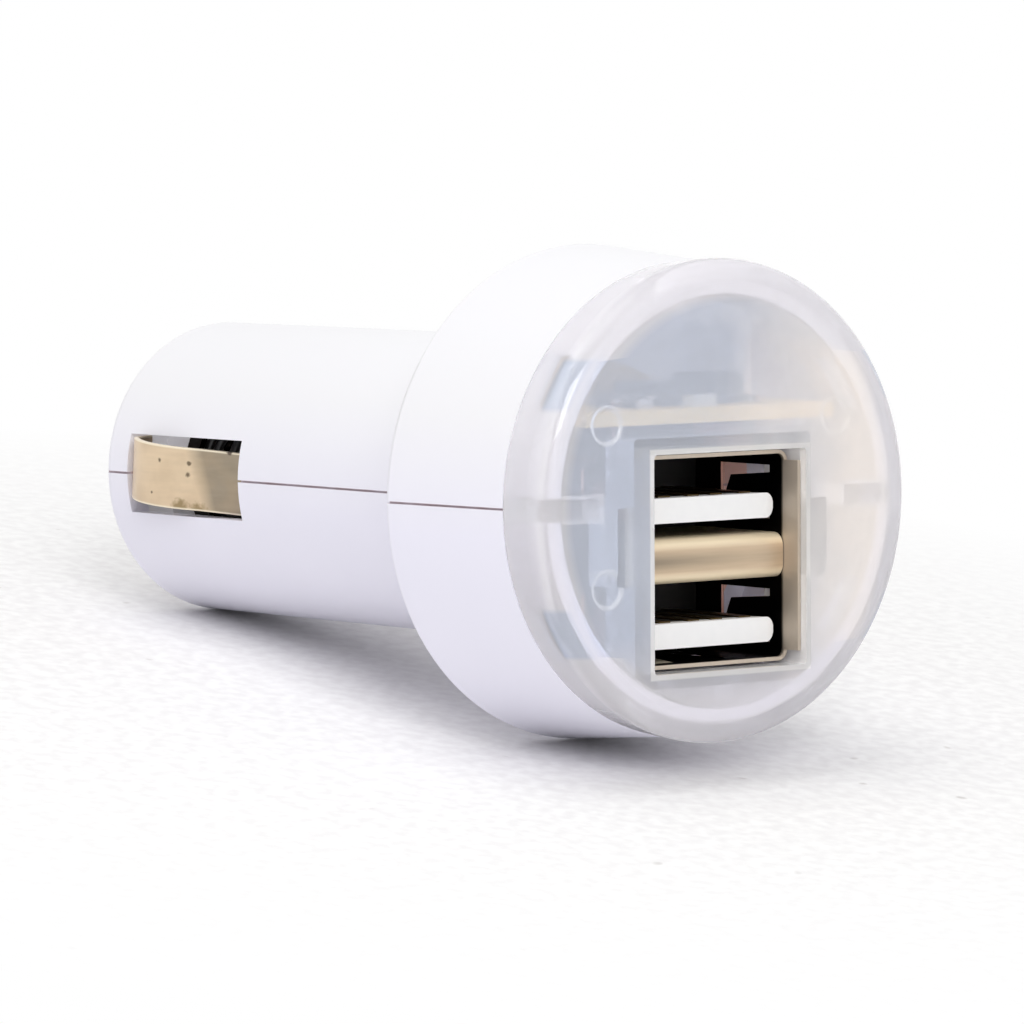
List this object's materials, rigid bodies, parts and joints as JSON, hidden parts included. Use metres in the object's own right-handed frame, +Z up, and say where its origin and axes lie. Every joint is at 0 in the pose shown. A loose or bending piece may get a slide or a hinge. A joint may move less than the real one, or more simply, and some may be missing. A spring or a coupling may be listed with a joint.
{
  "type": "car usb charger plug",
  "caption": "White round charger plug for a car's 12 V socket, with a milky clear front cap, stacked charging sockets, side leaf contacts and a sprung tip.",
  "frame": {"origin": "centre of the bounding box, on the surface that the plug lies on", "axes": "+X from the tip to the front face, seen from above; the plug's own axis rises about 9 degrees towards the face because it lies on the rim of its head and the edge of its tail; +Z up"},
  "size_m": [0.0646, 0.0336, 0.0346],
  "materials": {
    "white_plastic": "smooth white moulding",
    "clear_plastic": "milky clear moulding",
    "stamped_shell": "bright plated sheet",
    "divider_strip": "bright plated sheet",
    "white_nylon": "moulded nylon",
    "contact_metal": "gold plated",
    "board": "paper laminate",
    "black_epoxy": "moulded epoxy",
    "led_lens": "clear resin",
    "ceramic": "fired ceramic",
    "ferrite": "dark ferrite",
    "winding": "enamelled wire",
    "can_sleeve": "shrink sleeve",
    "leaf_metal": "plated spring strip",
    "tip_metal": "plated turned tip",
    "spring_wire": "drawn wire",
    "terminal_metal": "stamped strip"
  },
  "bodies": {
    "plug": {"upper_housing": "white_plastic", "lower_housing": "white_plastic", "front_cap": "clear_plastic", "usb_shell": "stamped_shell", "usb_divider": "divider_strip", "usb_insulator": "white_nylon", "upper_port_contacts": "contact_metal", "lower_port_contacts": "contact_metal", "circuit_board": "board", "converter_chip": "black_epoxy", "schottky_diode": "black_epoxy", "indicator_led": "led_lens", "chip_resistors": "black_epoxy", "ceramic_capacitors": "ceramic", "inductor_core": "ferrite", "inductor_coil": "winding", "input_capacitor": "can_sleeve", "left_ground_terminal": "terminal_metal", "right_ground_terminal": "terminal_metal", "pin_spring": "spring_wire", "pin_terminal": "terminal_metal"},
    "left_spring": {"left_ground_spring": "leaf_metal"},
    "right_spring": {"right_ground_spring": "leaf_metal"},
    "tip": {"centre_pin": "tip_metal"}
  },
  "joints": [
    {"name": "tip_slide", "type": "slide", "parent": "plug", "child": "tip", "axis": [0.9878, 0, 0.1559], "range_m": [0, 0.0035], "stiffness_N_per_m": 1200, "springref_m": -0.002, "deforming": ["pin_spring"]},
    {"name": "left_spring_flex", "type": "hinge", "parent": "plug", "child": "left_spring", "pos_m": [-0.00833, -0.0073, 0.01227], "axis": [0.078, 0, -0.997], "range_deg": [0, 8.5], "stiffness_Nm_per_rad": 0.3},
    {"name": "right_spring_flex", "type": "hinge", "parent": "plug", "child": "right_spring", "pos_m": [-0.00833, 0.0073, 0.01227], "axis": [-0.078, 0, 0.997], "range_deg": [0, 8.5], "stiffness_Nm_per_rad": 0.3}
  ]
}
